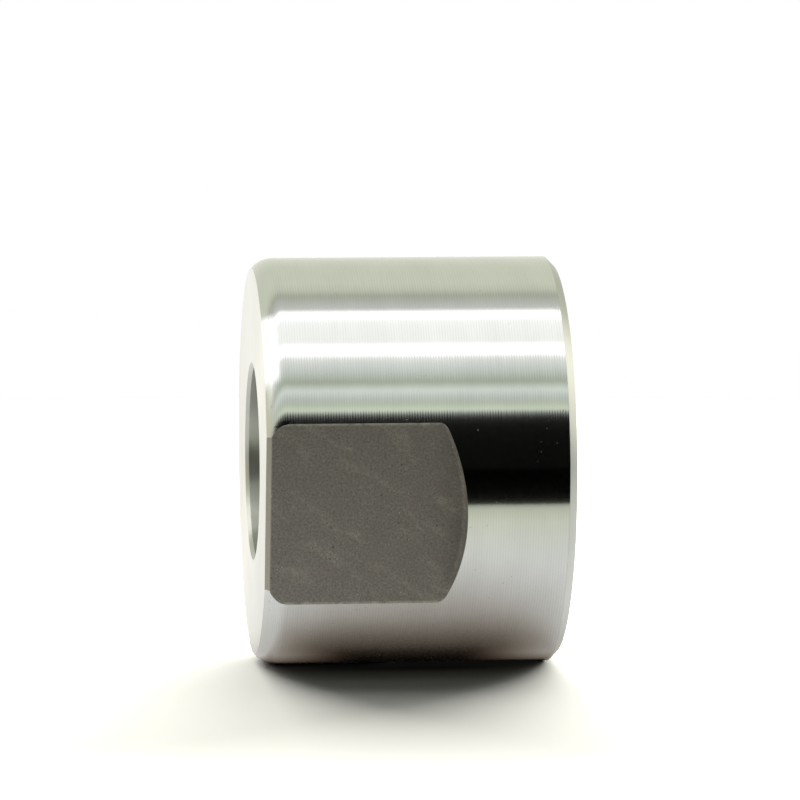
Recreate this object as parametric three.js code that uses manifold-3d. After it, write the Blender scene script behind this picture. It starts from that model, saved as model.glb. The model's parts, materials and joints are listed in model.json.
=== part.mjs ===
// Roller cam follower (tappet): a ground steel cylinder that slides in a guide bore,
// with a fork inside it that carries a cam roller on a caged needle bearing.
//
// Millimetres. The follower's axis is X: the push end, with the bore, faces -X and the
// cam end faces +X. The origin is on the axis, half way along the body. Everything is
// built square to the guide flat, whose normal is -Y, and then the whole follower is
// rolled about X to the angle at which it lies on the bench, with +Z up.

import * as THREE from 'three';
import { mergeVertices } from 'three/addons/utils/BufferGeometryUtils.js';
import Module from 'manifold-3d';

const wasm = await Module();
wasm.setup();

// ---------- Driving dimensions ----------

const ROLL = 11.1;                    // degrees, the guide flat looks this far below the horizontal

const BODY_LENGTH = 26;
const BODY_RADIUS = 17.5;
const PUSH_FACE_RADIUS = 16.63;       // outer edge of the flat part of the push end's face
const PUSH_EDGE_RADIUS = 2.4;         // rounding between that face and the outside
const CAM_EDGE_CHAMFER = 0.7;
const FLANGE_THICKNESS = 5;           // the wall at the push end
const BORE_RADIUS = 8.2;
const BORE_CHAMFER = 0.31;
const SKIRT_RADIUS = 13.5;            // inside of the skirt, open at the cam end
const SKIRT_CHAMFER = 0.5;
const GROOVE_RADIUS = 14.2;           // retaining ring groove
const GROOVE_WIDTH = 1.3;
const GROOVE_TO_RIM = 2.15;

const FLAT_DISTANCE = 15.62;          // from the axis to the guide flat
const MILL_RADIUS = 18;               // the flat is milled by a plunged disc cutter
const MILL_CENTRE_X = -14.25;
const MILL_CORNER_RADIUS = 0.5;
const FLAT_LEAD_IN = 0.4;             // chamfer where the flat meets the push face

const PIN_X = 3.8;                    // the roller pin's axis crosses the body's axis here
const PIN_RADIUS = 3.5;
const PIN_LENGTH = 25;
const NEEDLE_RADIUS = 0.75;
const NEEDLE_LENGTH = 5.8;
const NEEDLE_COUNT = 12;
const RUNNING_GAP = 0.02;             // radial, between needle and race

const ROLLER_RADIUS = 9;
const ROLLER_WIDTH = 10;
const CAGE_WIDTH = 8;
const CAGE_WALL_GAP = 0.25;           // radial, between cage and races
const POCKET_GAP = 0.04;              // around each needle in its pocket
const WASHER_THICKNESS = 0.5;
const WASHER_RADIUS = 6.9;
const SIDE_GAP = 0.025;               // on each side of a thrust washer

const FIT_GAP = 0.03;                 // radial, for pieces located in the carrier or the body
const SEAT_GAP = 0.05;                // between faces that seat on each other
const CARRIER_BASE = 2.15;            // thickness of the fork's base
const SPIGOT_RADIUS = 8.1;
const SPIGOT_LENGTH = 2;
const PAD_RADIUS = 5;
const PAD_PROUD = 0.4;                // the pad stands this far out of the spigot
const PAD_SOCKET_DEPTH = 1.4;
const DOWEL_RADIUS = 1.25;
const DOWEL_OFFSET = 10.8;            // from the body's axis
const DOWEL_DEPTH_IN_BODY = 2.4;
const DOWEL_DEPTH_IN_CARRIER = 3;
const DOWEL_END_GAP = 0.1;
const RING_THICKNESS = 1.2;

// ---------- Derived places ----------

const PUSH_X = -BODY_LENGTH / 2;
const CAM_X = BODY_LENGTH / 2;
const FLANGE_X = PUSH_X + FLANGE_THICKNESS;
const GROOVE_END_X = CAM_X - GROOVE_TO_RIM;
const GROOVE_START_X = GROOVE_END_X - GROOVE_WIDTH;
const CARRIER_START_X = FLANGE_X + SEAT_GAP;
const SPIGOT_X = CARRIER_START_X - SPIGOT_LENGTH;
const FORK_X = CARRIER_START_X + CARRIER_BASE;
const EAR_END_X = GROOVE_START_X - SEAT_GAP;
const FORK_HALF_GAP = ROLLER_WIDTH / 2 + WASHER_THICKNESS + 2 * SIDE_GAP;
const PITCH_RADIUS = PIN_RADIUS + NEEDLE_RADIUS + RUNNING_GAP;
const OUTER_RACE_RADIUS = PITCH_RADIUS + NEEDLE_RADIUS + RUNNING_GAP;

const FINE = 72;                      // facets round the larger turned pieces
const MEDIUM = 48;
const COARSE = 20;

// ---------- Materials ----------

function steel(name, color, roughness) {
  return new THREE.MeshStandardMaterial({ name, color, roughness, metalness: 1 });
}

const groundSteel = steel('ground_steel', 0xc9cbc4, 0.22);
const machinedSteel = steel('machined_steel', 0x8d8f8c, 0.4);
const racewaySteel = steel('raceway_steel', 0xd6d8d8, 0.12);
const cageSteel = steel('cage_steel', 0x9a978e, 0.35);
const bronze = steel('bronze', 0xb08a4f, 0.35);
const springSteel = steel('spring_steel', 0x2e2f31, 0.5);

// ---------- Solids ----------

// One closed surface with shared corners, no collapsed triangles and its faces out.
function cleanGeometry(geometry) {
  const source = geometry.clone();
  source.deleteAttribute('normal');
  source.deleteAttribute('uv');
  const merged = mergeVertices(source, 1e-4);
  const place = merged.getAttribute('position');
  const corners = merged.getIndex().array;
  const kept = [];
  let volume = 0;
  const a = new THREE.Vector3();
  const b = new THREE.Vector3();
  const c = new THREE.Vector3();
  for (let i = 0; i < corners.length; i += 3) {
    const [p, q, r] = [corners[i], corners[i + 1], corners[i + 2]];
    if (p === q || q === r || r === p) continue;
    a.fromBufferAttribute(place, p);
    b.fromBufferAttribute(place, q);
    c.fromBufferAttribute(place, r);
    volume += a.dot(b.cross(c));
    kept.push(p, q, r);
  }
  if (volume < 0) kept.reverse();
  const closed = new THREE.BufferGeometry();
  closed.setAttribute('position', place);
  closed.setIndex(kept);
  return closed;
}

function solid(geometry) {
  const closed = cleanGeometry(geometry);
  return new wasm.Manifold(new wasm.Mesh({
    numProp: 3,
    vertProperties: new Float32Array(closed.getAttribute('position').array),
    triVerts: new Uint32Array(closed.getIndex().array),
  }));
}

function geometryOf(manifold) {
  const mesh = manifold.getMesh();
  const geometry = new THREE.BufferGeometry();
  geometry.setAttribute('position', new THREE.BufferAttribute(mesh.vertProperties, 3));
  geometry.setIndex(new THREE.BufferAttribute(mesh.triVerts, 1));
  return geometry;
}

function cut(geometry, tools) {
  return geometryOf(tools.reduce((left, tool) => left.subtract(solid(tool)), solid(geometry)));
}

// A turned piece about the X axis, from [x, radius] corners. A profile that doesn't
// start on the axis is closed on itself.
function turnedAboutX(corners, facets) {
  const loop = corners[0][1] > 0 ? [...corners, corners[0]] : corners;
  const profile = loop.map(([x, radius]) => new THREE.Vector2(radius, x));
  return new THREE.LatheGeometry(profile, facets).rotateZ(-Math.PI / 2);
}

// The same about the roller pin's axis, from [y, radius] corners.
function turnedAboutPin(corners, facets) {
  const loop = corners[0][1] > 0 ? [...corners, corners[0]] : corners;
  const profile = loop.map(([y, radius]) => new THREE.Vector2(radius, y));
  return new THREE.LatheGeometry(profile, facets);
}

// [along, radius] corners of a ring with chamfered outer corners.
function sleeveProfile(halfLength, inner, outer, chamfer) {
  return [
    [-halfLength, inner],
    [-halfLength, outer - chamfer],
    [-halfLength + chamfer, outer],
    [halfLength - chamfer, outer],
    [halfLength, outer - chamfer],
    [halfLength, inner],
  ];
}

// [along, radius] corners of a round bar with chamfered ends.
function barProfile(low, high, radius, chamfer) {
  return [
    [low, 0],
    [low, radius - chamfer],
    [low + chamfer, radius],
    [high - chamfer, radius],
    [high, radius - chamfer],
    [high, 0],
  ];
}

// ---------- Body ----------

// The rounded outer edge of the push end, from its face out to the outside wall.
function pushEdge(steps) {
  const centreRadius = BODY_RADIUS - PUSH_EDGE_RADIUS;
  const startAngle = Math.asin((PUSH_FACE_RADIUS - centreRadius) / PUSH_EDGE_RADIUS);
  const centreX = PUSH_X + PUSH_EDGE_RADIUS * Math.cos(startAngle);
  const points = [];
  for (let i = 0; i <= steps; i += 1) {
    const angle = THREE.MathUtils.lerp(startAngle, Math.PI / 2, i / steps);
    points.push([
      centreX - PUSH_EDGE_RADIUS * Math.cos(angle),
      centreRadius + PUSH_EDGE_RADIUS * Math.sin(angle),
    ]);
  }
  return points;
}

// The disc cutter that mills the guide flat, with a rounded corner at its face.
function millGeometry(cornerSteps) {
  const height = 4;
  const profile = [[-FLAT_DISTANCE - height, 0], [-FLAT_DISTANCE - height, MILL_RADIUS]];
  for (let i = 0; i <= cornerSteps; i += 1) {
    const angle = (Math.PI / 2) * (i / cornerSteps);
    profile.push([
      -FLAT_DISTANCE - MILL_CORNER_RADIUS * (1 - Math.sin(angle)),
      MILL_RADIUS - MILL_CORNER_RADIUS * (1 - Math.cos(angle)),
    ]);
  }
  profile.push([-FLAT_DISTANCE, 0]);
  return turnedAboutPin(profile, FINE).translate(MILL_CENTRE_X, 0, 0);
}

function bodyGeometry() {
  const turned = turnedAboutX([
    [PUSH_X + BORE_CHAMFER, BORE_RADIUS],
    [PUSH_X, BORE_RADIUS + BORE_CHAMFER],
    ...pushEdge(5),
    [CAM_X - CAM_EDGE_CHAMFER, BODY_RADIUS],
    [CAM_X, BODY_RADIUS - CAM_EDGE_CHAMFER],
    [CAM_X, SKIRT_RADIUS + SKIRT_CHAMFER],
    [CAM_X - SKIRT_CHAMFER, SKIRT_RADIUS],
    [GROOVE_END_X, SKIRT_RADIUS],
    [GROOVE_END_X, GROOVE_RADIUS],
    [GROOVE_START_X, GROOVE_RADIUS],
    [GROOVE_START_X, SKIRT_RADIUS],
    [FLANGE_X, SKIRT_RADIUS],
    [FLANGE_X, BORE_RADIUS],
  ], FINE);

  const leadInSide = FLAT_LEAD_IN * Math.SQRT2;
  const leadIn = new THREE.BoxGeometry(leadInSide, leadInSide, BODY_RADIUS)
    .rotateZ(Math.PI / 4)
    .translate(PUSH_X, -FLAT_DISTANCE, 0);
  return cut(turned, [millGeometry(3), leadIn, dowelGeometry(FIT_GAP)]);
}

// ---------- Roller carrier ----------

function carrierGeometry() {
  const outside = SKIRT_RADIUS - FIT_GAP;
  const edge = 0.4;
  const turned = turnedAboutX([
    [SPIGOT_X, 0],
    [SPIGOT_X, SPIGOT_RADIUS - edge],
    [SPIGOT_X + edge, SPIGOT_RADIUS],
    [CARRIER_START_X, SPIGOT_RADIUS],
    [CARRIER_START_X, outside - edge],
    [CARRIER_START_X + edge, outside],
    [EAR_END_X - edge, outside],
    [EAR_END_X, outside - edge],
    [EAR_END_X, 0],
  ], FINE);

  const slotLength = CAM_X - FORK_X;
  const slot = new THREE.BoxGeometry(slotLength, 2 * FORK_HALF_GAP, 2 * BODY_RADIUS)
    .translate(FORK_X + slotLength / 2, 0, 0);
  const pinHoleRadius = PIN_RADIUS + FIT_GAP;
  const pinHole = new THREE.CylinderGeometry(pinHoleRadius, pinHoleRadius, 2 * BODY_RADIUS, MEDIUM)
    .translate(PIN_X, 0, 0);
  const padSocket = turnedAboutX(
    barProfile(PUSH_X, SPIGOT_X + PAD_SOCKET_DEPTH, PAD_RADIUS + FIT_GAP, 0.2), MEDIUM,
  );
  return cut(turned, [slot, pinHole, padSocket, dowelGeometry(FIT_GAP)]);
}

function padGeometry() {
  const back = SPIGOT_X + PAD_SOCKET_DEPTH - SEAT_GAP;
  return turnedAboutX(barProfile(SPIGOT_X - PAD_PROUD, back, PAD_RADIUS, 0.3), MEDIUM);
}

// The dowel, or with a gap round it the hole that the dowel stands in.
function dowelGeometry(gap) {
  const endGap = gap > 0 ? 0 : DOWEL_END_GAP;
  const low = FLANGE_X - DOWEL_DEPTH_IN_BODY + endGap;
  const high = CARRIER_START_X + DOWEL_DEPTH_IN_CARRIER - endGap;
  return turnedAboutX(barProfile(low, high, DOWEL_RADIUS + gap, 0.25), COARSE)
    .translate(0, DOWEL_OFFSET, 0);
}

// ---------- Roller and its bearing, about the pin's axis ----------

function pinGeometry() {
  return turnedAboutPin(barProfile(-PIN_LENGTH / 2, PIN_LENGTH / 2, PIN_RADIUS, 0.5), FINE);
}

function rollerGeometry() {
  const half = ROLLER_WIDTH / 2;
  const mouth = 0.3;
  const edge = 0.5;
  return turnedAboutPin([
    [-half + mouth, OUTER_RACE_RADIUS],
    [-half, OUTER_RACE_RADIUS + mouth],
    [-half, ROLLER_RADIUS - edge],
    [-half + edge, ROLLER_RADIUS],
    [half - edge, ROLLER_RADIUS],
    [half, ROLLER_RADIUS - edge],
    [half, OUTER_RACE_RADIUS + mouth],
    [half - mouth, OUTER_RACE_RADIUS],
  ], FINE);
}

function needleAngle(index) {
  return (2 * Math.PI * index) / NEEDLE_COUNT;
}

function cageGeometry() {
  const ring = turnedAboutPin(sleeveProfile(
    CAGE_WIDTH / 2, PIN_RADIUS + CAGE_WALL_GAP, OUTER_RACE_RADIUS - CAGE_WALL_GAP, 0.1,
  ), MEDIUM);
  const pocketWidth = 2 * (NEEDLE_RADIUS + POCKET_GAP);
  const pocketLength = NEEDLE_LENGTH + 2 * POCKET_GAP;
  const pockets = [];
  for (let i = 0; i < NEEDLE_COUNT; i += 1) {
    pockets.push(new THREE.BoxGeometry(4 * NEEDLE_RADIUS, pocketLength, pocketWidth)
      .translate(PITCH_RADIUS, 0, 0)
      .rotateY(-needleAngle(i)));
  }
  return cut(ring, pockets);
}

function needleGeometry() {
  return turnedAboutPin(barProfile(-NEEDLE_LENGTH / 2, NEEDLE_LENGTH / 2, NEEDLE_RADIUS, 0.15), COARSE);
}

function washerGeometry() {
  return turnedAboutPin(sleeveProfile(
    WASHER_THICKNESS / 2, PIN_RADIUS + 2 * FIT_GAP, WASHER_RADIUS, 0.1,
  ), MEDIUM);
}

// ---------- Retaining ring ----------

// A sprung ring, widest opposite its gap, with an eyed lug on each side of the gap.
// The outline is drawn with the gap at angle 0 and then turned to face +Y.
function ringGeometry() {
  const outer = GROOVE_RADIUS - 0.2;
  const thinWidth = 1.5;
  const wideWidth = 2.7;
  const gapAngle = THREE.MathUtils.degToRad(12);
  const lugAngle = THREE.MathUtils.degToRad(14);
  const lugReach = 3.4;
  const eyeRadius = 0.8;
  const steps = 40;

  const at = (radius, angle) => new THREE.Vector2(radius * Math.cos(angle), radius * Math.sin(angle));
  const outline = [];
  for (let i = 0; i <= steps; i += 1) {
    outline.push(at(outer, THREE.MathUtils.lerp(gapAngle, 2 * Math.PI - gapAngle, i / steps)));
  }
  const firstInner = gapAngle + lugAngle;
  outline.push(at(outer - lugReach, -gapAngle));
  outline.push(at(outer - lugReach, -firstInner));
  for (let i = 0; i <= steps; i += 1) {
    const angle = THREE.MathUtils.lerp(2 * Math.PI - firstInner, firstInner, i / steps);
    const share = (1 - Math.cos(angle)) / 2;
    outline.push(at(outer - THREE.MathUtils.lerp(thinWidth, wideWidth, share), angle));
  }
  outline.push(at(outer - lugReach, firstInner));
  outline.push(at(outer - lugReach, gapAngle));

  const shape = new THREE.Shape(outline);
  for (const side of [-1, 1]) {
    const eye = at(outer - lugReach / 2, side * (gapAngle + lugAngle / 2));
    shape.holes.push(new THREE.Path().absarc(eye.x, eye.y, eyeRadius, 0, 2 * Math.PI, true));
  }
  const startX = GROOVE_START_X + (GROOVE_WIDTH - RING_THICKNESS) / 2;
  return new THREE.ExtrudeGeometry(shape, { depth: RING_THICKNESS, bevelEnabled: false, curveSegments: 8 })
    .rotateY(Math.PI / 2)
    .rotateX(Math.PI / 2)
    .translate(startX, 0, 0);
}

// ---------- Assembly ----------

function piece(name, geometry, material) {
  const mesh = new THREE.Mesh(cleanGeometry(geometry), material.clone());
  mesh.name = name;
  return mesh;
}

function bearingGroup() {
  const group = new THREE.Group();
  group.position.x = PIN_X;
  group.add(piece('roller_pin', pinGeometry(), racewaySteel));
  group.add(piece('cam_roller', rollerGeometry(), racewaySteel));
  group.add(piece('needle_cage', cageGeometry(), cageSteel));
  for (let i = 0; i < NEEDLE_COUNT; i += 1) {
    const name = `needle_${String(i + 1).padStart(2, '0')}`;
    const needle = piece(name, needleGeometry(), racewaySteel);
    const angle = needleAngle(i);
    needle.position.set(PITCH_RADIUS * Math.cos(angle), 0, PITCH_RADIUS * Math.sin(angle));
    group.add(needle);
  }
  const washerY = ROLLER_WIDTH / 2 + SIDE_GAP + WASHER_THICKNESS / 2;
  for (const [name, side] of [['thrust_washer_front', -1], ['thrust_washer_rear', 1]]) {
    const washer = piece(name, washerGeometry(), bronze);
    washer.position.y = side * washerY;
    group.add(washer);
  }
  return group;
}

const group = new THREE.Group();
group.rotation.x = THREE.MathUtils.degToRad(ROLL);
group.add(piece('follower_body', bodyGeometry(), groundSteel));
group.add(piece('roller_carrier', carrierGeometry(), machinedSteel));
group.add(piece('thrust_pad', padGeometry(), racewaySteel));
group.add(piece('locating_dowel', dowelGeometry(0), racewaySteel));
group.add(piece('retaining_ring', ringGeometry(), springSteel));
group.add(bearingGroup());

export default group;
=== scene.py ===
"""The looks of the roller cam follower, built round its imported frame.

Shapes are worked out in millimetres in follower coordinates: X along the body's axis towards the
cam end, with the guide flat facing -Y. placed() rolls them into the frame and scales them to metres.
Every turned piece is a profile revolved about its own X axis, so one set of materials serves them all.
"""
import json
import math

import bmesh
import bpy
from mathutils import Matrix, Vector


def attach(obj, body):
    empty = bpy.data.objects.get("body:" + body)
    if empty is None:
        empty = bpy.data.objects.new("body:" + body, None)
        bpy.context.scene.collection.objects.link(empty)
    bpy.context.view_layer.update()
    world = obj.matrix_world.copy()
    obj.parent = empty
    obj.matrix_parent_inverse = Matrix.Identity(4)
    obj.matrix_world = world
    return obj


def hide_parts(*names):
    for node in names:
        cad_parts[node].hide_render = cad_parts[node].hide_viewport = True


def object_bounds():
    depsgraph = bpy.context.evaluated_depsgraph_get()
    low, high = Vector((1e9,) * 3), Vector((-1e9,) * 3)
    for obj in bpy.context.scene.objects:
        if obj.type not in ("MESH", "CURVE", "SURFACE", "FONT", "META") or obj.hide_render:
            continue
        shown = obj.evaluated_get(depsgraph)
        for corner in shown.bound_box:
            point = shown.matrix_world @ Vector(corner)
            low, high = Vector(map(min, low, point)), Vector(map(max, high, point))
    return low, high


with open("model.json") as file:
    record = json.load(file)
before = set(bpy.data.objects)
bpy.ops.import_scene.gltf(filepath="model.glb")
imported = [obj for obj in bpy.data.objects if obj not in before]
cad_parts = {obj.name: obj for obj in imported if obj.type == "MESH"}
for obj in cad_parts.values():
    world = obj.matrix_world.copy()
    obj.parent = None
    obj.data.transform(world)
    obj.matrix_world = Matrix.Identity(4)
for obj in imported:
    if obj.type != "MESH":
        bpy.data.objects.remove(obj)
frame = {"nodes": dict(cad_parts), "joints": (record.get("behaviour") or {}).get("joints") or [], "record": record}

CAD_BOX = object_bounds()
MM = 0.001

# ---------- Places taken from the frame ----------

JOINTS = {joint["name"]: joint for joint in frame["joints"]}
MOUNTS = {mount["name"]: mount for mount in frame["record"]["mounts"]}
PIN_AXIS = Vector(JOINTS["roller_spin"]["axis"])
PIN_X = JOINTS["roller_spin"]["pos_m"][0] / MM
ROLL = math.atan2(PIN_AXIS.z, PIN_AXIS.y)
UNROLL = Matrix.Rotation(-ROLL, 3, "X")


def points(node):
    """A CAD node's corners in follower coordinates."""
    return [UNROLL @ vertex.co / MM for vertex in frame["nodes"][node].data.vertices]


def span(node, axis):
    values = [point[axis] for point in points(node)]
    return min(values), max(values)


def radii(node):
    """The smallest and largest distance of a node's corners from the body's axis."""
    values = [math.hypot(point.y, point.z) for point in points(node)]
    return min(values), max(values)


def pin_radii(node):
    """The same, from the roller pin's axis."""
    values = [math.hypot(point.x - PIN_X, point.z) for point in points(node)]
    return min(values), max(values)


NEEDLES = sorted(name for name in frame["nodes"] if name.startswith("needle_") and name != "needle_cage")
PUSH_X, CAM_X = span("follower_body", 0)
BORE_RADIUS, BODY_RADIUS = radii("follower_body")
FLAT_MOUNT = MOUNTS["guide_flat"]
FLAT_DISTANCE = Vector(FLAT_MOUNT["pos_m"]).dot(Vector(FLAT_MOUNT["axis"])) / MM

# ---------- Sizes of what the frame doesn't state ----------

PUSH_FACE_RADIUS = 16.63
PUSH_EDGE_RADIUS = 2.4
CAM_EDGE_CHAMFER = 0.7
FLANGE_THICKNESS = 5.0
BORE_CHAMFER = 0.31
SKIRT_RADIUS = 13.5
SKIRT_CHAMFER = 0.5
GROOVE_RADIUS = 14.2
GROOVE_WIDTH = 1.3
GROOVE_TO_RIM = 2.15
MILL_RADIUS = 18.0
MILL_CENTRE_X = -14.25
MILL_CORNER_RADIUS = 0.35
FLAT_LEAD_IN = 0.4
SLOT_BEHIND_ROLLER = 0.6
# Clearances: where pieces seat, beside the washers, round the pin, pad and dowel, and round each needle.
SEAT_GAP = 0.05
FLOAT_GAP = 0.025
HOLE_GAP = 0.03
POCKET_GAP = 0.04
# A distance that is outside the part in every direction, where cutters end.
BEYOND = 20
SHARP_ANGLE = math.radians(18)


# ---------- Mesh helpers ----------

def rounded(corners, steps=4):
    """An open outline with its corners filleted. Each corner is (along, radius, fillet)."""
    outline = []
    for index, (along, radius, fillet) in enumerate(corners):
        here = Vector((along, radius))
        if fillet == 0 or index in (0, len(corners) - 1):
            outline.append(here)
            continue
        before = (Vector(corners[index - 1][:2]) - here).normalized()
        after = (Vector(corners[index + 1][:2]) - here).normalized()
        half = before.angle(after) / 2
        tangent = fillet / math.tan(half)
        centre = here + (before + after).normalized() * fillet / math.sin(half)
        start = here + before * tangent - centre
        end = here + after * tangent - centre
        turn = start.angle_signed(end)
        for step in range(steps + 1):
            angle = -turn * step / steps
            outline.append(centre + Matrix.Rotation(angle, 2) @ start)
    return outline


def revolved(profile, steps):
    """Vertices and faces of a profile of (along, radius) points revolved about X.

    A profile that starts and ends on the axis makes a bar; any other is closed on itself."""
    vertices, rings = [], []
    for along, radius in profile:
        if radius < 1e-6:
            rings.append([len(vertices)] * steps)
            vertices.append((along, 0.0, 0.0))
            continue
        rings.append(list(range(len(vertices), len(vertices) + steps)))
        for step in range(steps):
            angle = 2 * math.pi * step / steps
            vertices.append((along, -radius * math.cos(angle), radius * math.sin(angle)))
    is_bar = profile[0][1] < 1e-6
    pairs = list(zip(rings, rings[1:])) if is_bar else list(zip(rings, rings[1:] + rings[:1]))
    faces = []
    for low, high in pairs:
        for step in range(steps):
            after = (step + 1) % steps
            ring = [low[step], high[step], high[after], low[after]]
            faces.append(list(dict.fromkeys(ring)))
    return vertices, faces


def mesh_object(name, vertices, faces):
    mesh = bpy.data.meshes.new(name)
    mesh.from_pydata(vertices, [], faces)
    obj = bpy.data.objects.new(name, mesh)
    bpy.context.scene.collection.objects.link(obj)
    tidy(obj)
    return obj


def tidy(obj, merge=1e-5):
    """Merges coincident corners, drops collapsed faces and turns every face outwards."""
    work = bmesh.new()
    work.from_mesh(obj.data)
    bmesh.ops.remove_doubles(work, verts=work.verts, dist=merge)
    bmesh.ops.dissolve_degenerate(work, edges=work.edges, dist=merge)
    bmesh.ops.recalc_face_normals(work, faces=work.faces)
    work.to_mesh(obj.data)
    work.free()


def box_object(name, low, high):
    corners = [(x, y, z) for x in (low[0], high[0]) for y in (low[1], high[1]) for z in (low[2], high[2])]
    faces = [(0, 1, 3, 2), (4, 6, 7, 5), (0, 4, 5, 1), (2, 3, 7, 6), (0, 2, 6, 4), (1, 5, 7, 3)]
    return mesh_object(name, corners, faces)


def bar_object(name, low, high, radius, steps=96):
    """A plain round bar along X, used to cut holes."""
    return mesh_object(name, *revolved([(low, 0), (low, radius), (high, radius), (high, 0)], steps))


def settled(obj):
    """Replaces an object's mesh by the result of its modifiers."""
    bpy.context.view_layer.update()
    graph = bpy.context.evaluated_depsgraph_get()
    mesh = bpy.data.meshes.new_from_object(obj.evaluated_get(graph))
    obj.modifiers.clear()
    obj.data = mesh
    return obj


def carved(obj, cutters):
    for cutter in cutters:
        modifier = obj.modifiers.new("cut", "BOOLEAN")
        modifier.operation = "DIFFERENCE"
        modifier.solver = "EXACT"
        modifier.object = cutter
    settled(obj)
    for cutter in cutters:
        bpy.data.objects.remove(cutter)
    return obj


def bevelled(obj, width, segments=3):
    modifier = obj.modifiers.new("edge", "BEVEL")
    modifier.width = width
    modifier.segments = segments
    modifier.limit_method = "ANGLE"
    modifier.angle_limit = math.radians(40)
    modifier.miter_outer = "MITER_ARC"
    return settled(obj)


ALONG_BODY = Matrix.Rotation(ROLL, 4, "X")


def along_pin(x=PIN_X, y=0.0, z=0.0):
    """The place of a piece whose own X axis lies along the roller pin, at x, y, z of the follower."""
    return ALONG_BODY @ Matrix.Translation(Vector((x, y, z)) * MM) @ Matrix.Rotation(math.pi / 2, 4, "Z")


def placed(obj, where, body, node, materials):
    """Scales a finished piece to metres, puts it in its place, and lets it stand for its CAD node.

    A piece about the body's own axis has its place in its mesh, so that its box stays a tight one."""
    obj.data.transform(Matrix.Scale(MM, 4))
    obj.data.shade_smooth()
    obj.data.set_sharp_from_angle(angle=SHARP_ANGLE)
    if where == ALONG_BODY:
        obj.data.transform(where)
    else:
        obj.matrix_world = where
    for material in materials:
        obj.data.materials.append(material)
    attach(obj, body)
    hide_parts(node)
    return obj


# ---------- Follower body ----------

GROUND, FACE, BORED, MILLED = range(4)


def push_edge_arc(low_radius, high_radius, steps):
    """(x, radius) points on the rounding between the push face and the outside."""
    centre_radius = BODY_RADIUS - PUSH_EDGE_RADIUS
    face_angle = math.asin((PUSH_FACE_RADIUS - centre_radius) / PUSH_EDGE_RADIUS)
    centre_x = PUSH_X + PUSH_EDGE_RADIUS * math.cos(face_angle)
    low = math.asin((low_radius - centre_radius) / PUSH_EDGE_RADIUS)
    high = math.asin(min(1.0, (high_radius - centre_radius) / PUSH_EDGE_RADIUS))
    arc = []
    for step in range(steps + 1):
        angle = low + (high - low) * step / steps
        x = centre_x - PUSH_EDGE_RADIUS * math.cos(angle)
        arc.append((x, centre_radius + PUSH_EDGE_RADIUS * math.sin(angle)))
    return arc


def round_point(x, radius, angle):
    """A point at an angle about the axis, counted from the middle of the guide flat."""
    return x, -radius * math.cos(angle), radius * math.sin(angle)


def spread(start, end, count):
    """count points from start up to, but not including, end."""
    return [start + (end - start) * step / count for step in range(count)]


def mill_wall(z, depth, steps):
    """The end wall of the flat, from its foot to the outside, at height z across the flat."""
    full = MILL_CORNER_RADIUS
    reach = math.acos(max(0.0, 1 - depth / full))
    wall = []
    for step in range(steps + 1):
        angle = reach * step / steps
        rise = full * (1 - math.cos(angle))
        radius = MILL_RADIUS - full + full * math.sin(angle)
        wall.append((MILL_CENTRE_X + math.sqrt(radius**2 - z**2), -FLAT_DISTANCE - rise, z))
    top_radius = MILL_RADIUS - full + full * math.sin(reach)
    wall.append((MILL_CENTRE_X + math.sqrt(top_radius**2 - z**2), -FLAT_DISTANCE - depth, z))
    return wall


def body_outline(angle, inside):
    """One closed outline of the body wall: ((x, y, z), material of the face that follows the point)."""
    arc_steps, flat_steps, wall_steps, outside_steps = 12, 20, 6, 12
    half_angle = math.acos(FLAT_DISTANCE / BODY_RADIUS)
    in_flat = abs(angle) <= half_angle + 1e-9
    flat_material = MILLED if abs(angle) < half_angle - 1e-9 or angle < 0 and in_flat else GROUND
    clamped = max(-half_angle, min(half_angle, angle)) if in_flat else half_angle
    z = BODY_RADIUS * math.sin(clamped)
    depth = max(0.0, math.sqrt(BODY_RADIUS**2 - z**2) - FLAT_DISTANCE)
    chamfer_reach = math.sqrt(PUSH_FACE_RADIUS**2 - (FLAT_DISTANCE - FLAT_LEAD_IN) ** 2)

    outline = []
    if in_flat and abs(z) <= chamfer_reach:
        corner = (PUSH_X, -FLAT_DISTANCE + FLAT_LEAD_IN, z)
        outline += [(corner, GROUND)] * arc_steps + [(corner, MILLED)]
        flat_start = PUSH_X + FLAT_LEAD_IN
    elif in_flat:
        arc = push_edge_arc(PUSH_FACE_RADIUS, math.hypot(FLAT_DISTANCE, z), arc_steps)
        share = (abs(z) - chamfer_reach) / (BODY_RADIUS * math.sin(half_angle) - chamfer_reach)
        face_z = chamfer_reach + (PUSH_FACE_RADIUS * math.sin(half_angle) - chamfer_reach) * share
        for step, (x, radius) in enumerate(arc):
            across = math.copysign(face_z + (abs(z) - face_z) * step / arc_steps, z)
            outline.append(((x, -math.sqrt(radius**2 - across**2), across), GROUND))
        flat_start = arc[-1][0]
    else:
        arc = push_edge_arc(PUSH_FACE_RADIUS, BODY_RADIUS, arc_steps)
        outline += [(round_point(x, radius, angle), GROUND) for x, radius in arc]
        flat_start = arc[-1][0]

    wall = mill_wall(z, depth, wall_steps)
    along = spread(flat_start, wall[0][0], flat_steps)
    if in_flat:
        outline += [((x, -FLAT_DISTANCE, z), flat_material) for x in along]
        outline += [(point, flat_material) for point in wall[:-1]]
    else:
        outline += [(round_point(x, BODY_RADIUS, angle), GROUND) for x in along]
        outline += [(round_point(wall[0][0], BODY_RADIUS, angle), GROUND)] * (len(wall) - 1)
    outside = spread(wall[-1][0], inside[0][0][0], outside_steps)
    outline += [(round_point(x, BODY_RADIUS, angle), GROUND) for x in outside]
    outline += [(round_point(x, radius, angle), material) for (x, radius), material in inside]
    return outline


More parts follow.
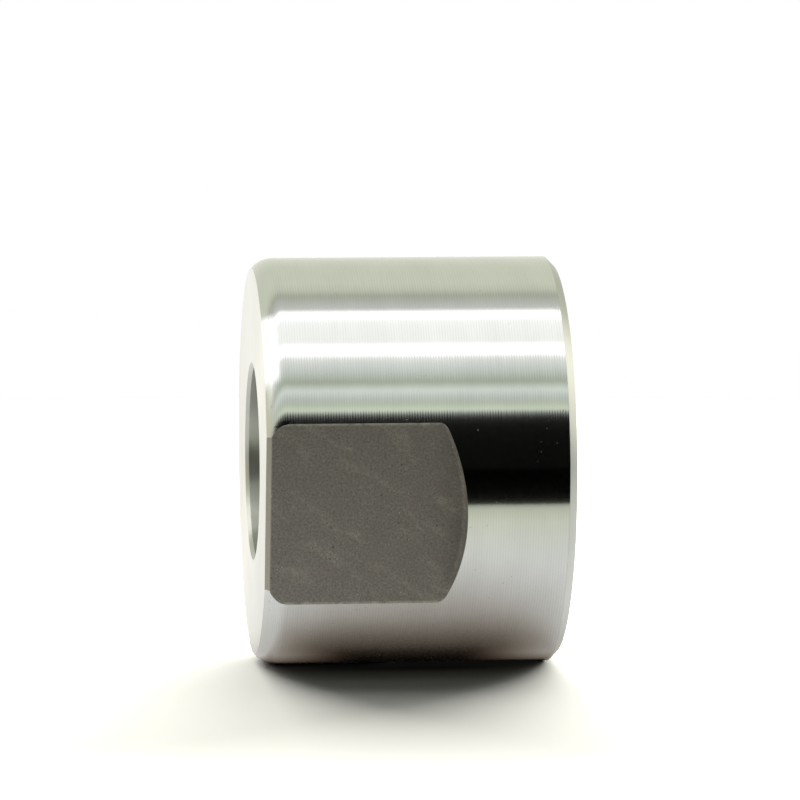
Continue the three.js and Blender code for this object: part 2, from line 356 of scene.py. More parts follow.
def body_inside():
    """((x, radius), material) from the outside's cam end, through the skirt and bore, to the push face."""
    flange_x = PUSH_X + FLANGE_THICKNESS
    groove_end = CAM_X - GROOVE_TO_RIM
    groove_start = groove_end - GROOVE_WIDTH
    corners = [
        (0, BODY_RADIUS, 0),
        (CAM_X - CAM_EDGE_CHAMFER, BODY_RADIUS, 0.08),
        (CAM_X, BODY_RADIUS - CAM_EDGE_CHAMFER, 0.06),
        (CAM_X, SKIRT_RADIUS + SKIRT_CHAMFER, 0.06),
        (CAM_X - SKIRT_CHAMFER, SKIRT_RADIUS, 0.08),
        (groove_end, SKIRT_RADIUS, 0.05),
        (groove_end, GROOVE_RADIUS, 0.12),
        (groove_start, GROOVE_RADIUS, 0.12),
        (groove_start, SKIRT_RADIUS, 0.05),
        (flange_x, SKIRT_RADIUS, 0.35),
        (flange_x, BORE_RADIUS, 0.1),
        (PUSH_X + BORE_CHAMFER, BORE_RADIUS, 0.04),
        (PUSH_X, BORE_RADIUS + BORE_CHAMFER, 0.04),
        (PUSH_X, PUSH_FACE_RADIUS, 0),
    ]
    outline = rounded(corners)[1:-1]
    marked = []
    for x, radius in outline:
        on_rim = x > CAM_X - 0.02 and radius > SKIRT_RADIUS
        on_push_face = x < PUSH_X + 1e-4
        marked.append(((x, radius), FACE if on_rim or on_push_face else BORED))
    marked[0] = (marked[0][0], GROUND)
    return marked


def sharpen_borders(obj):
    """Keeps a crisp edge wherever two finishes meet."""
    work = bmesh.new()
    work.from_mesh(obj.data)
    for edge in work.edges:
        if len({face.material_index for face in edge.link_faces}) > 1:
            edge.smooth = False
    work.to_mesh(obj.data)
    work.free()


def body_piece(materials):
    half_angle = math.acos(FLAT_DISTANCE / BODY_RADIUS)
    across_flat, round_rest = 120, 320
    angles = spread(-half_angle, half_angle, across_flat)
    angles += spread(half_angle, 2 * math.pi - half_angle, round_rest)
    inside = body_inside()
    outlines = [body_outline(angle, inside) for angle in angles]
    count = len(outlines[0])

    vertices = [point for outline in outlines for point, _ in outline]
    faces, kinds = [], []
    for index, outline in enumerate(outlines):
        here = index * count
        after = (index + 1) % len(outlines) * count
        for step in range(count):
            ahead = (step + 1) % count
            faces.append((here + step, here + ahead, after + ahead, after + step))
            kinds.append(outline[step][1])

    mesh = bpy.data.meshes.new("follower_body")
    mesh.from_pydata(vertices, [], faces)
    mesh.polygons.foreach_set("material_index", kinds)
    obj = bpy.data.objects.new("body_shell", mesh)
    bpy.context.scene.collection.objects.link(obj)
    tidy(obj)
    placed(obj, ALONG_BODY, "housing", "follower_body", materials)
    sharpen_borders(obj)
    return obj


# ---------- Turned pieces ----------

def sleeve_corners(low, high, inner, outer, fillet, mouth=0.0):
    """Corners of a ring: all four edges filleted, with an optional chamfered mouth to its hole."""
    corners = []
    if mouth:
        corners += [(low + mouth, inner, 0.05), (low, inner + mouth, 0.05)]
    else:
        corners += [(low, inner, fillet / 2)]
    corners += [(low, outer, fillet), (high, outer, fillet)]
    if mouth:
        corners += [(high, inner + mouth, 0.05), (high - mouth, inner, 0.05)]
    else:
        corners += [(high, inner, fillet / 2)]
    return corners


def looped(corners, steps=4):
    """The filleted outline of a closed loop of corners, started half way along its last side."""
    first, last = Vector(corners[0][:2]), Vector(corners[-1][:2])
    middle = (first + last) / 2
    start = (middle.x, middle.y, 0)
    return rounded([start, *corners, start], steps)[:-1]


def turned_sleeve(name, low, high, inner, outer, fillet, mouth=0.0, steps=180):
    profile = looped(sleeve_corners(low, high, inner, outer, fillet, mouth))
    return mesh_object(name, *revolved(profile, steps))


def turned_bar(name, low, high, radius, fillet, steps=128):
    profile = rounded([(low, 0, 0), (low, radius, fillet), (high, radius, fillet), (high, 0, 0)], 5)
    return mesh_object(name, *revolved(profile, steps))


def roller_piece(materials):
    low, high = span("cam_roller", 1)
    inner, outer = pin_radii("cam_roller")
    obj = turned_sleeve("cam_roller_shell", low, high, inner, outer, 0.7, mouth=0.3, steps=256)
    return placed(obj, along_pin(), "roller", "cam_roller", materials)


def pin_piece(materials):
    low, high = span("roller_pin", 1)
    radius = pin_radii("roller_pin")[1]
    obj = turned_bar("roller_pin_bar", low, high, radius, 0.5)
    return placed(obj, along_pin(), "housing", "roller_pin", materials)


def needle_pieces(materials):
    for node in NEEDLES:
        x_low, x_high = span(node, 0)
        low, high = span(node, 1)
        z_low, z_high = span(node, 2)
        obj = turned_bar(f"{node}_bar", low, high, (z_high - z_low) / 2, 0.2, 48)
        where = along_pin((x_low + x_high) / 2, 0, (z_low + z_high) / 2)
        placed(obj, where, f"{node}_body", node, materials)


def washer_pieces(materials):
    for side in ("front", "rear"):
        node = f"thrust_washer_{side}"
        low, high = span(node, 1)
        inner, outer = pin_radii(node)
        obj = turned_sleeve(f"{node}_disc", low, high, inner, outer, 0.12)
        placed(obj, along_pin(), f"washer_{side}", node, materials)


def pad_piece(materials):
    low, high = span("thrust_pad", 0)
    obj = turned_bar("thrust_pad_disc", low, high, radii("thrust_pad")[1], 0.35)
    return placed(obj, ALONG_BODY, "housing", "thrust_pad", materials)


def dowel_piece(materials):
    low, high = span("locating_dowel", 0)
    y_low, y_high = span("locating_dowel", 1)
    obj = turned_bar("locating_dowel_bar", low, high, (y_high - y_low) / 2, 0.25, 64)
    where = ALONG_BODY @ Matrix.Translation(Vector((0, (y_low + y_high) / 2, 0)) * MM)
    return placed(obj, where, "housing", "locating_dowel", materials)


# ---------- Pieces with cut-outs ----------

def carrier_piece(materials):
    """The fork: a stepped plug with a slot for the roller, a hole for the pin and a socket for the pad."""
    spigot_x, end_x = span("roller_carrier", 0)
    outside = radii("roller_carrier")[1]
    flange_x = PUSH_X + FLANGE_THICKNESS + SEAT_GAP
    spigot_radius = BORE_RADIUS - 2 * SEAT_GAP
    profile = rounded([
        (spigot_x, 0, 0),
        (spigot_x, spigot_radius, 0.3),
        (flange_x, spigot_radius, 0.15),
        (flange_x, outside, 0.3),
        (end_x, outside, 0.4),
        (end_x, 0, 0),
    ])
    obj = mesh_object("roller_carrier_fork", *revolved(profile, 256))

    washer_low = span("thrust_washer_front", 1)[0]
    half_gap = -washer_low + FLOAT_GAP
    fork_x = span("cam_roller", 0)[0] - SLOT_BEHIND_ROLLER
    slot = box_object("slot", (fork_x, -half_gap, -BEYOND), (BEYOND, half_gap, BEYOND))
    pin_radius = pin_radii("roller_pin")[1] + HOLE_GAP
    pin_hole = bar_object("pin_hole", -BEYOND, BEYOND, pin_radius)
    pin_hole.matrix_world = Matrix.Translation((PIN_X, 0, 0)) @ Matrix.Rotation(math.pi / 2, 4, "Z")
    pad_end = span("thrust_pad", 0)[1] + SEAT_GAP
    socket = bar_object("pad_socket", spigot_x - 1, pad_end, radii("thrust_pad")[1] + HOLE_GAP)
    dowel_low, dowel_high = span("locating_dowel", 0)
    y_low, y_high = span("locating_dowel", 1)
    dowel_radius = (y_high - y_low) / 2 + HOLE_GAP
    dowel_hole = bar_object("dowel_hole", dowel_low, dowel_high + 2 * SEAT_GAP, dowel_radius, 48)
    dowel_hole.matrix_world = Matrix.Translation((0, (y_low + y_high) / 2, 0))
    carved(obj, [slot, pin_hole, socket, dowel_hole])
    bevelled(obj, 0.12)
    return placed(obj, ALONG_BODY, "housing", "roller_carrier", materials)


def cage_piece(materials):
    """A thin sleeve with one pocket for each needle."""
    low, high = span("needle_cage", 1)
    inner, outer = pin_radii("needle_cage")
    obj = turned_sleeve("needle_cage_sleeve", low, high, inner, outer, 0.15, steps=192)
    obj.data.transform(Matrix.Rotation(math.pi / 2, 4, "Z"))
    pockets = []
    for node in NEEDLES:
        x_low, x_high = span(node, 0)
        z_low, z_high = span(node, 2)
        needle_low, needle_high = span(node, 1)
        half_width = (z_high - z_low) / 2 + POCKET_GAP
        angle = math.atan2((z_low + z_high) / 2, (x_low + x_high) / 2 - PIN_X)
        near = (inner - 1, needle_low - POCKET_GAP, -half_width)
        far = (outer + 1, needle_high + POCKET_GAP, half_width)
        pocket = box_object("pocket", near, far)
        pocket.matrix_world = Matrix.Rotation(-angle, 4, "Y")
        pockets.append(pocket)
    carved(obj, pockets)
    bevelled(obj, 0.05, 2)
    obj.data.transform(Matrix.Rotation(-math.pi / 2, 4, "Z"))
    return placed(obj, along_pin(), "cage", "needle_cage", materials)


def ring_piece(materials):
    """A sprung ring, widest opposite its gap, with an eyed lug on each side of the gap."""
    start_x, end_x = span("retaining_ring", 0)
    outer = radii("retaining_ring")[1]
    thin, wide = 1.5, 2.7
    gap, lug = math.radians(12), math.radians(14)
    lug_radius, lug_fillet = outer - 3.4, 1.1
    eye_radius, eye_depth = 0.8, 1.7

    def at(radius, angle):
        """The gap is at angle 0, which faces +Y."""
        return Vector((0, radius * math.cos(angle), radius * math.sin(angle)))

    def inner_point(angle):
        share = (1 - math.cos(angle)) / 2
        return at(outer - thin - (wide - thin) * share, angle)

    def lug_outline(side):
        """The lug's rounded nose, from the gap to the ring's inside."""
        nose = [at(outer, side * gap), at(lug_radius, side * gap), at(lug_radius, side * (gap + lug)),
                inner_point(side * (gap + lug))]
        fillets = (0, lug_fillet, lug_fillet, 0)
        corners = [(point.y, point.z, fillet) for point, fillet in zip(nose, fillets)]
        return [Vector((0, y, z)) for y, z in rounded(corners, 6)[1:-1]]

    steps = 120
    outline = [at(outer, angle) for angle in spread(gap, 2 * math.pi - gap, steps)]
    outline += [at(outer, -gap), *lug_outline(-1)]
    outline += [inner_point(angle) for angle in spread(2 * math.pi - gap - lug, gap + lug, steps)]
    outline += [inner_point(gap + lug), *reversed(lug_outline(1))]

    count = len(outline)
    vertices = [(x, point.y, point.z) for x in (start_x, end_x) for point in outline]
    faces = [tuple(range(count)), tuple(reversed(range(count, 2 * count)))]
    faces += [(step, (step + 1) % count, (step + 1) % count + count, step + count) for step in range(count)]
    obj = mesh_object("retaining_ring_clip", vertices, faces)
    eyes = []
    for side in (-1, 1):
        eye = bar_object("eye", start_x - 1, end_x + 1, eye_radius, 48)
        eye.matrix_world = Matrix.Translation(at(outer - eye_depth, side * (gap + lug / 2)))
        eyes.append(eye)
    carved(obj, eyes)
    bevelled(obj, 0.12)
    return placed(obj, ALONG_BODY, "housing", "retaining_ring", materials)


# ---------- Materials ----------

class Look:
    """The node tree of a material or the world, with short ways to add and join nodes."""

    def __init__(self, owner):
        self.owner = owner
        owner.use_nodes = True
        self.tree = owner.node_tree
        self.tree.nodes.clear()

    def add(self, kind, inputs=None, **settings):
        node = self.tree.nodes.new("ShaderNode" + kind)
        for key, value in settings.items():
            setattr(node, key, value)
        for key, value in (inputs or {}).items():
            self.feed(node.inputs[key], value)
        return node

    def feed(self, socket, value):
        if isinstance(value, bpy.types.NodeSocket):
            self.tree.links.new(value, socket)
        else:
            socket.default_value = value

    def math(self, operation, first, second=0.0):
        return self.add("Math", {0: first, 1: second}, operation=operation).outputs[0]

    def vector(self, x, y, z):
        return self.add("CombineXYZ", {0: x, 1: y, 2: z}).outputs[0]

    def noise(self, vector, scale, detail=2.0, roughness=0.5):
        inputs = {"Vector": vector, "Scale": scale, "Detail": detail, "Roughness": roughness}
        return self.add("TexNoise", inputs).outputs[0]

    def remap(self, value, low, high, to_low=0.0, to_high=1.0):
        inputs = {0: value, 1: low, 2: high, 3: to_low, 4: to_high}
        return self.add("MapRange", inputs).outputs[0]

    def blend(self, factor, first, second):
        node = self.add("Mix", data_type="RGBA")
        self.feed(node.inputs[0], factor)
        self.feed(node.inputs[6], first)
        self.feed(node.inputs[7], second)
        return node.outputs[2]

    def bump(self, height, strength, distance):
        inputs = {"Height": height, "Strength": strength, "Distance": distance}
        return self.add("Bump", inputs).outputs[0]

    def place(self):
        """Object coordinates in millimetres."""
        return self.scaled(self.add("TexCoord").outputs["Object"], 1 / MM)

    def follower_place(self):
        """The same, turned to follower coordinates, for a piece whose place is in its mesh."""
        return self.add("Mapping", {"Vector": self.place(), "Rotation": (-ROLL, 0, 0)}).outputs[0]

    def lay(self):
        """(distance along a turned surface in mm, slow coordinates round it) for machining marks."""
        x, y, z = self.add("SeparateXYZ", {0: self.place()}).outputs
        radius = self.math("SQRT", self.math("ADD", self.math("MULTIPLY", y, y), self.math("MULTIPLY", z, z)))
        along = self.math("ADD", x, radius)
        return along, self.math("DIVIDE", y, radius), self.math("DIVIDE", z, radius)

    def specks(self, density, shift=0.0):
        """1 on small scattered dots, 0 elsewhere; density is in dots per mm, along any line.

        Most dots are far smaller than the largest, whose radius is a share of the dots' spacing."""
        rarity, largest = 4.0, 0.12
        moved = self.add("VectorMath", {0: self.place(), 1: (shift, shift, shift)}, operation="ADD")
        cells = self.add("TexVoronoi", {"Vector": moved.outputs[0], "Scale": density}, feature="F1")
        draw = self.add("TexWhiteNoise", {"Vector": cells.outputs["Position"]}, noise_dimensions="3D")
        limit = self.math("MULTIPLY", self.math("POWER", draw.outputs["Value"], rarity), largest)
        return self.math("LESS_THAN", cells.outputs["Distance"], limit)

    def scaled(self, vector, factor):
        return self.add("VectorMath", {0: vector, 3: factor}, operation="SCALE").outputs[0]

    def either(self, factor, first, second):
        """first where factor is 0, second where it is 1."""
        return self.add("MixShader", {0: factor, 1: first, 2: second}).outputs[0]

    def principled(self, inputs):
        return self.add("BsdfPrincipled", inputs).outputs[0]

    def finish(self, shader, output="OutputMaterial"):
        self.feed(self.add(output).inputs["Surface"], shader)
        return self.owner


def colour(red, green, blue):
    return (red, green, blue, 1.0)


def new_look(name):
    return Look(bpy.data.materials.new(name))


DRIFT_RANGE = (0.3, 0.7)


def machining_marks(look, pitch):
    """Evenly spaced feed marks (-1 to 1), random marks (-0.5 to 0.5) and a slow drift (0 to 1)."""
    round_scale, drift_scale, phase_drift = 3.0, 0.4, 2.5
    along, cosine, sine = look.lay()
    slow_round = look.math("MULTIPLY", cosine, round_scale), look.math("MULTIPLY", sine, round_scale)
    fine_along = look.math("MULTIPLY", along, 1 / pitch)
    coarse_along = look.math("MULTIPLY", along, drift_scale)
    random_marks = look.noise(look.vector(fine_along, *slow_round), 1.0, 3.0, 0.6)
    drift = look.noise(look.vector(coarse_along, *slow_round), 1.0, 2.0)
    phase = look.math("MULTIPLY", along, 2 * math.pi / pitch)
    phase = look.math("ADD", phase, look.math("MULTIPLY", drift, phase_drift))
    return look.math("SINE", phase), look.remap(random_marks, 0.25, 0.75, -0.5, 0.5), drift


def leaning_normal(look, round_it, lean):
    """The surface's normal, leant along round_it by lean radians."""
    upright = look.add("NewGeometry").outputs["Normal"]
    step = look.scaled(round_it, lean)
    leaning = look.add("VectorMath", {0: upright, 1: step}, operation="ADD").outputs[0]
    return look.add("VectorMath", {0: leaning}, operation="NORMALIZE").outputs[0]


def turned_steel(name, tint, roughness, stretch, waver, pitch=0.226, contrast=0.03, lines=0.012,
                 specks=0.0):
    """Metal with fine machining marks that run round the piece's own X axis.

    waver is how far each mark leans along its own length, in radians; pitch is their spacing in mm;
    contrast and lines are how far the random and the evenly spaced marks change the colour."""
    feed_share, speck_roughness = 0.8, 0.4
    look = new_look(name)
    feed_marks, random_marks, drift = machining_marks(look, pitch)
    marks = look.math("ADD", look.math("MULTIPLY", feed_marks, feed_share), random_marks)
    marks = look.math("MULTIPLY", marks, look.remap(drift, *DRIFT_RANGE, 0.6, 1.2))

    shade = look.math("ADD", look.math("MULTIPLY", random_marks, contrast),
                      look.remap(drift, *DRIFT_RANGE, 1 - contrast, 1 + contrast))
    shade = look.math("ADD", shade, look.math("MULTIPLY", feed_marks, lines))
    rough = look.remap(marks, -1, 1, roughness * 0.9, roughness * 1.1)
    if specks:
        rough = look.math("ADD", rough, look.math("MULTIPLY", look.specks(specks), speck_roughness))
    round_it = look.add("Tangent", direction_type="RADIAL", axis="X").outputs[0]
    return look.finish(look.principled({
        "Base Color": look.scaled(tint, shade),
        "Metallic": 1.0,
        "Roughness": rough,
        "Anisotropic": stretch,
        "Anisotropic Rotation": 0.25,
        "Tangent": round_it,
        "Normal": leaning_normal(look, round_it, look.math("MULTIPLY", marks, -waver)),
    }))


DARK_GRAIN, LIGHT_GRAIN = colour(0.108, 0.099, 0.086), colour(0.275, 0.254, 0.224)
MOTTLE, REDDISH = colour(0.155, 0.142, 0.120), colour(0.22, 0.165, 0.148)
# The second colour on the next line is a painted highlight, laid on the flat's lead-in and along its edges with
# the round outside.
SMUDGE, EDGE_HIGHLIGHT = colour(0.33, 0.31, 0.25), colour(0.46, 0.42, 0.35)
BRIGHT_SPECK, DARK_SPECK = colour(0.55, 0.53, 0.46), colour(0.03, 0.03, 0.03)
SMUDGE_SLANT = math.radians(-55)
SMUDGE_STRETCH = 2.8


def smudges(look, place):
    """Where the flat is rubbed: slanted, drawn-out patches, broken up by a fine grain."""
    slanted = look.add("Mapping", {
        "Vector": place,
        "Rotation": (0, SMUDGE_SLANT, 0),
        "Scale": (1.0, 1.0, SMUDGE_STRETCH),
    }, vector_type="TEXTURE").outputs[0]
    patches = look.remap(look.noise(slanted, 0.75, 3.0, 0.6), 0.54, 0.68)
    grain = look.remap(look.noise(place, 7.0, 2.0), 0.42, 0.58)
    return look.math("MULTIPLY", patches, grain)


def painted_edge_highlight(look, place):
    """Painted highlight: 1 where the flat meets the round outside, broken up along its length."""
    across = look.add("VectorMath", {0: place, 1: (0.0, 1.0, 1.0)}, operation="MULTIPLY").outputs[0]
    radius = look.add("VectorMath", {0: across}, operation="LENGTH").outputs["Value"]
    near_edge = look.remap(radius, BODY_RADIUS - 0.12, BODY_RADIUS - 0.02)
    broken_up = look.remap(look.noise(place, 1.3, 4.0, 0.7), 0.35, 0.6, 0.1, 0.9)
    return look.math("MULTIPLY", near_edge, broken_up)


def milled_dark():
    """The guide flat: dark, matt, with a fine grain, rubbed smudges, a few bright and dark specks, and painted
    highlights on its lead-in and along its edges.
    """
    look = new_look("guide_flat_dark")
    place = look.follower_place()
    along, _, _ = look.add("SeparateXYZ", {0: place}).outputs
    grain = look.noise(place, 5.0, 4.0, 0.75)
    mottle = look.noise(place, 0.5, 3.0, 0.6)
    tint = look.noise(place, 0.9, 2.0)
    lead_in_end = PUSH_X + FLAT_LEAD_IN
    layers = (
        (look.remap(mottle, 0.35, 0.7, 0.0, 0.35), MOTTLE),
        (look.remap(tint, 0.5, 0.75, 0.0, 0.35), REDDISH),
        (look.math("MULTIPLY", smudges(look, place), 0.55), SMUDGE),
        (look.math("MULTIPLY", look.specks(2.4), 0.8), BRIGHT_SPECK),
        (look.math("MULTIPLY", look.specks(1.2, 40.0), 0.7), DARK_SPECK),
        # The lead-in strip is painted lighter, a painted highlight fading onto the flat.
        (look.remap(along, lead_in_end - 0.05, lead_in_end + 0.12, 0.55, 0.0), EDGE_HIGHLIGHT),
        # Painted highlight along the flat's edges with the round outside.
        (painted_edge_highlight(look, place), EDGE_HIGHLIGHT),
    )
    tone = look.blend(look.remap(grain, 0.3, 0.7), DARK_GRAIN, LIGHT_GRAIN)
    for share, layer in layers:
        tone = look.blend(share, tone, layer)
    return look.finish(look.principled({
        "Base Color": tone,
        "Metallic": 0.0,
        "Roughness": look.remap(grain, 0.3, 0.7, 0.55, 0.7),
        "Specular IOR Level": 0.35,
        "Normal": look.bump(grain, 0.5, 0.02 * MM),
    }))


GROUND_STEEL = turned_steel("ground_steel", (0.60, 0.61, 0.585), roughness=0.15, stretch=1.0,
                            waver=0.005, lines=0.025, specks=2.0)
FACE_STEEL = turned_steel("face_steel", (0.66, 0.635, 0.555), roughness=0.34, stretch=0.6, waver=0.01)
BORED_STEEL = turned_steel("bored_steel", (0.46, 0.46, 0.41), roughness=0.38, stretch=0.7,
                           waver=0.02, pitch=0.3, contrast=0.06)
MILLED_DARK = milled_dark()

RACEWAY_STEEL = turned_steel("raceway_steel", (0.66, 0.66, 0.65), roughness=0.12, stretch=0.8, waver=0.004)
MACHINED_STEEL = turned_steel("machined_steel", (0.46, 0.46, 0.45), roughness=0.36, stretch=0.6, waver=0.02)
CAGE_STEEL = turned_steel("cage_steel", (0.42, 0.42, 0.43), roughness=0.42, stretch=0.3, waver=0.01)
BRONZE = turned_steel("bronze", (0.60, 0.40, 0.20), roughness=0.34, stretch=0.5, waver=0.02)
SPRING_STEEL = turned_steel("spring_steel", (0.10, 0.10, 0.11), roughness=0.40, stretch=0.2, waver=0.01)

body_piece([GROUND_STEEL, FACE_STEEL, BORED_STEEL, MILLED_DARK])
carrier_piece([MACHINED_STEEL])
pad_piece([RACEWAY_STEEL])
dowel_piece([RACEWAY_STEEL])
ring_piece([SPRING_STEEL])
pin_piece([RACEWAY_STEEL])
roller_piece([RACEWAY_STEEL])
cage_piece([CAGE_STEEL])
needle_pieces([RACEWAY_STEEL])
washer_pieces([BRONZE])

# ---------- Studio ----------

NEUTRAL, COOL, WARM = (1.0, 1.0, 1.0), (0.935, 1.0, 0.95), (1.0, 0.98, 0.9)
GREENISH, GREENER = (0.96, 1.0, 0.84), (0.915, 1.0, 0.82)
# What steel sees above the floor: (degrees up from the front horizon and over to the back, brightness, tint).
STUDIO = (
    (28.0, 0.004, NEUTRAL),
    (30.0, 0.06, NEUTRAL),
    (31.6, 0.30, NEUTRAL),
    (33.2, 1.08, GREENER),
    (37.0, 0.78, GREENER),
    (40.0, 0.78, COOL),
    (45.0, 1.10, COOL),
    (50.0, 0.60, GREENER),
    (57.0, 0.90, COOL),
    (65.0, 1.15, NEUTRAL),
    (68.0, 2.2, NEUTRAL),
    (73.0, 2.2, NEUTRAL),
    (75.0, 1.42, NEUTRAL),
    (91.5, 1.50, NEUTRAL),
    (93.0, 2.4, NEUTRAL),
    (97.0, 2.4, NEUTRAL),
    (100.0, 0.85, NEUTRAL),
    (112.0, 0.60, GREENISH),
    (118.0, 0.84, GREENISH),
    (125.0, 0.92, GREENISH),
    (150.0, 0.86, GREENISH),
    (180.0, 0.90, WARM),
)
STUDIO_MAX = 2.5
# A wall and two cards off the object's ends, as shares of STUDIO_MAX.
LEFT_WALL, LEFT_CARD = colour(0.36, 0.345, 0.28), colour(0.85, 0.86, 0.86)
RIGHT_CARD = colour(0.88, 0.88, 0.82)
# What steel sees of the open floor, a painted glow with a painted black edge in front: (mm behind the object's
# middle, brightness, tint).
BOARD = (
    (-59.5, 0.0, NEUTRAL),
    (-59.0, 0.45, GREENISH),
    (-53.0, 0.72, GREENISH),
    (-42.0, 0.86, GREENISH),
    (-20.0, 0.95, NEUTRAL),
    (100.0, 1.10, NEUTRAL),
)
BOARD_MAX = 1.1
BOARD_NEAR, BOARD_FAR = -60, 100
# How fast red, green and blue of the painted shade fall as the object closes off the sky above the floor.
CONTACT_DARKENING = (0.90, 1.0, 1.10)
# The board's own colour, low because the soft boxes are strong. Far off it fades to plain white.
FLOOR_WHITE = colour(0.065, 0.0645, 0.0605)
FLOOR_FADE_START, FLOOR_FADE_END = 160, 260
FLOOR_SIZE = 6.0
# Soft boxes behind the object: (lowest and highest angle seen from it, brightness).
SOFT_BOXES = (
    (1, 42, 255),
    (44, 60, 20),
    (60, 90, 14),
)
SOFT_BOX_DISTANCE = 0.6
SOFT_BOX_WIDTH = 1.0
SOFT_BOX_TINT = (1.0, 1.0, 0.97)
LIGHT_AZIMUTH = math.radians(10)

CAMERA_AZIMUTH, CAMERA_ELEVATION = math.radians(-5.84), math.radians(5.07)
CAMERA_DISTANCE, CAMERA_RIGHT, CAMERA_UP = 0.45428, -0.0002, 0.00514
SENSOR_WIDTH, FOCAL_LENGTH = 36, 236.5


def graded(look, value, low, high, stops, most):
    """A colour that follows a list of (position, brightness, tint) along value, divided by most."""
    share = look.remap(value, low, high)
    ramp = look.add("ValToRGB", {0: share})
    elements = ramp.color_ramp.elements
    elements.remove(elements[1])
    for index, (position, brightness, tint) in enumerate(stops):
        place = (position - low) / (high - low)
        element = elements[0] if index == 0 else elements.new(place)
        element.position = place
        element.color = [brightness / most * part for part in tint] + [1.0]
    return ramp.outputs[0]


def studio_world():
    """Soft light by its height above the front horizon, a wall and two cards; the camera sees white."""
    world = bpy.data.worlds.new("studio")
    bpy.context.scene.world = world
    look = Look(world)
    right, back, up = look.add("SeparateXYZ", {0: look.add("TexCoord").outputs["Generated"]}).outputs
    left = look.math("MULTIPLY", right, -1.0)
    front = look.math("MULTIPLY", back, -1.0)
    turn = look.math("MULTIPLY", look.math("ARCTAN2", up, front), 180 / math.pi)

    # The left card's edges are planes through the object, so it shows between two lines on its rounding.
    above_lower_edge = look.remap(look.math("ADD", up, look.math("MULTIPLY", back, 0.58)), 0.40, 0.50)
    below_upper_edge = look.remap(look.math("ADD", up, look.math("MULTIPLY", back, 1.2)), 1.16, 1.08)
    left_card = look.math("MULTIPLY", above_lower_edge, below_upper_edge)
    left_card = look.math("MULTIPLY", left_card, look.remap(left, 0.32, 0.55))
    right_card = look.math("MULTIPLY", look.remap(right, 0.70, 0.80), look.remap(back, -0.15, 0.05))

    seen = graded(look, turn, 0, 180, STUDIO, STUDIO_MAX)
    seen = look.blend(look.remap(left, 0.8, 0.97), seen, LEFT_WALL)
    seen = look.blend(left_card, seen, LEFT_CARD)
    seen = look.blend(right_card, seen, RIGHT_CARD)
    light = look.add("Background", {0: seen, 1: STUDIO_MAX}).outputs[0]
    white = look.add("Background", {0: colour(1.0, 1.0, 1.0), 1: 1.0}).outputs[0]
    look.finish(look.either(look.add("LightPath").outputs["Is Camera Ray"], light, white), "OutputWorld")


def open_sky(look, right, back):
    """The painted light and shade on the floor, as steel sees it: little under the object, more at its ends.

    right and back are in mm from the object's middle."""
    sky = look.add("AmbientOcclusion", {"Distance": 0.1}, samples=16).outputs["AO"]
    # Painted shade from ambient occlusion, painted a little lighter towards the left.
    sky = look.math("MULTIPLY", look.remap(sky, 0.11, 0.82), look.remap(right, -15, 15, 1.12, 1.02))
    # Painted light towards the object's ends, in front of it.
    ends = look.math("POWER", look.remap(look.math("ABSOLUTE", right), 4, 12), 2.0)
    ends = look.math("MULTIPLY", ends, look.remap(back, -2.5, -5.5, 0.0, 0.42))
    sky = look.math("MAXIMUM", sky, ends)
    # Painted light beside the object's right end.
    beside = look.math("MULTIPLY", look.remap(right, 13, 18), look.remap(back, -15, -9))
    return look.math("MULTIPLY", sky, look.remap(beside, 0.0, 1.0, 1.0, 1.55))


def floor_look():
    """White board. The camera sees the soft shadow on it; steel sees a painted glow on it, evenly bright, with
    painted shade under the object.
    """
    look = new_look("pale_floor")
    place = look.scaled(look.add("NewGeometry").outputs["Position"], 1 / MM)
    right, back, _ = look.add("SeparateXYZ", {0: place}).outputs

    near = look.add("BsdfDiffuse", {"Color": FLOOR_WHITE}).outputs[0]
    white = look.add("Emission", {0: colour(1.0, 1.0, 1.0)}).outputs[0]
    distance = look.add("VectorMath", {0: place}, operation="LENGTH").outputs["Value"]
    seen = look.either(look.remap(distance, FLOOR_FADE_START, FLOOR_FADE_END), near, white)

    board = graded(look, back, BOARD_NEAR, BOARD_FAR, BOARD, BOARD_MAX)
    sky = open_sky(look, right, back)
    shade = look.vector(*[look.math("POWER", sky, power) for power in CONTACT_DARKENING])
    lit = look.add("VectorMath", {0: board, 1: shade}, operation="MULTIPLY").outputs[0]
    # Steel sees the floor as this painted glow with its painted shade; no lamp lights it.
    painted_glow = look.add("Emission", {0: lit, 1: BOARD_MAX}).outputs[0]
    return look.finish(look.either(look.add("LightPath").outputs["Is Camera Ray"], painted_glow, seen))


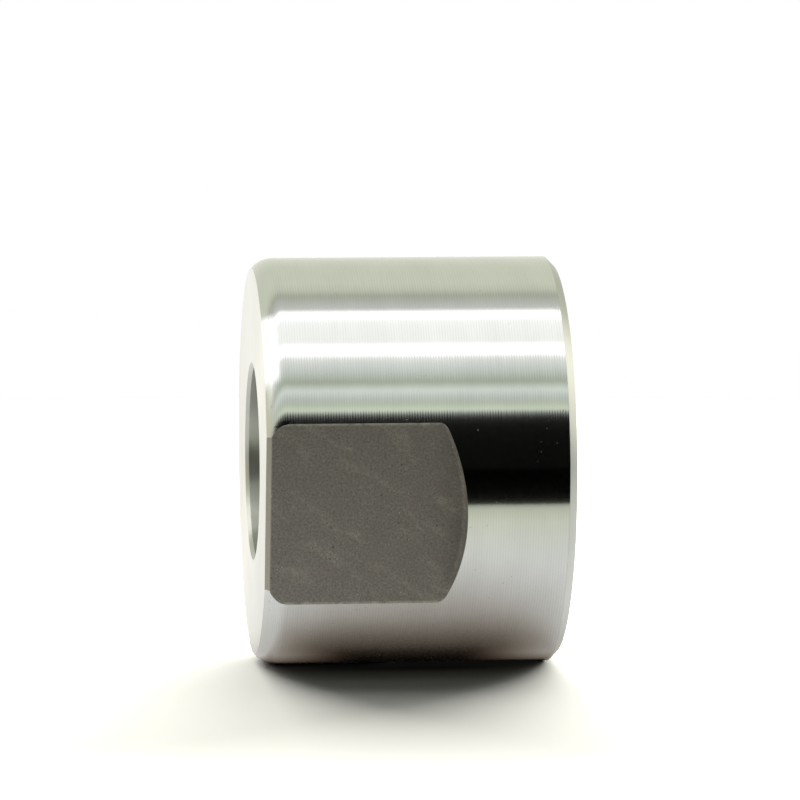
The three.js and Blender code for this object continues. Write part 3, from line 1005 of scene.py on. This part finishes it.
def build_floor():
    z = CAD_BOX[0][2]
    corners = [(x * FLOOR_SIZE, y * FLOOR_SIZE, z) for x, y in ((-1, -1), (1, -1), (1, 1), (-1, 1))]
    floor = mesh_object("floor", corners, [(0, 1, 2, 3)])
    floor.data.materials.append(floor_look())


def build_soft_boxes():
    """Panels behind the object that light the floor, unseen by the camera and by steel."""
    floor_z = CAD_BOX[0][2]
    for index, (low, high, brightness) in enumerate(SOFT_BOXES):
        name = f"soft_box_{index + 1}"
        data = bpy.data.lights.new(name, "AREA")
        data.shape = "RECTANGLE"
        data.size = SOFT_BOX_WIDTH
        data.size_y = SOFT_BOX_DISTANCE * math.radians(high - low)
        data.energy = brightness * math.pi * data.size * data.size_y
        data.color = SOFT_BOX_TINT
        box = bpy.data.objects.new(name, data)
        bpy.context.scene.collection.objects.link(box)
        tilt = Matrix.Rotation(math.radians((low + high) / 2), 4, "X")
        aim = Matrix.Rotation(-LIGHT_AZIMUTH, 4, "Z") @ tilt
        facing = Matrix.Rotation(-math.pi / 2, 4, "X")
        reach = Matrix.Translation((0, SOFT_BOX_DISTANCE, 0))
        box.matrix_world = Matrix.Translation((0, 0, floor_z)) @ aim @ reach @ facing
        box.visible_camera = False
        box.visible_glossy = False


def build_camera():
    """The camera stands in front and a little to the left, looking slightly down."""
    level = math.cos(CAMERA_ELEVATION)
    back = Vector((math.sin(CAMERA_AZIMUTH) * level, -math.cos(CAMERA_AZIMUTH) * level,
                   math.sin(CAMERA_ELEVATION)))
    right = Vector((math.cos(CAMERA_AZIMUTH), math.sin(CAMERA_AZIMUTH), 0))
    up = back.cross(right)
    data = bpy.data.cameras.new("camera")
    data.sensor_width = SENSOR_WIDTH
    data.lens = FOCAL_LENGTH
    data.clip_start = 0.01
    camera = bpy.data.objects.new("camera", data)
    bpy.context.scene.collection.objects.link(camera)
    place = back * CAMERA_DISTANCE + right * CAMERA_RIGHT + up * CAMERA_UP
    camera.matrix_world = Matrix.Translation(place) @ Matrix((right, up, back)).transposed().to_4x4()
    bpy.context.scene.camera = camera


studio_world()
build_floor()
build_soft_boxes()
build_camera()
bpy.context.scene.view_settings.view_transform = "Standard"
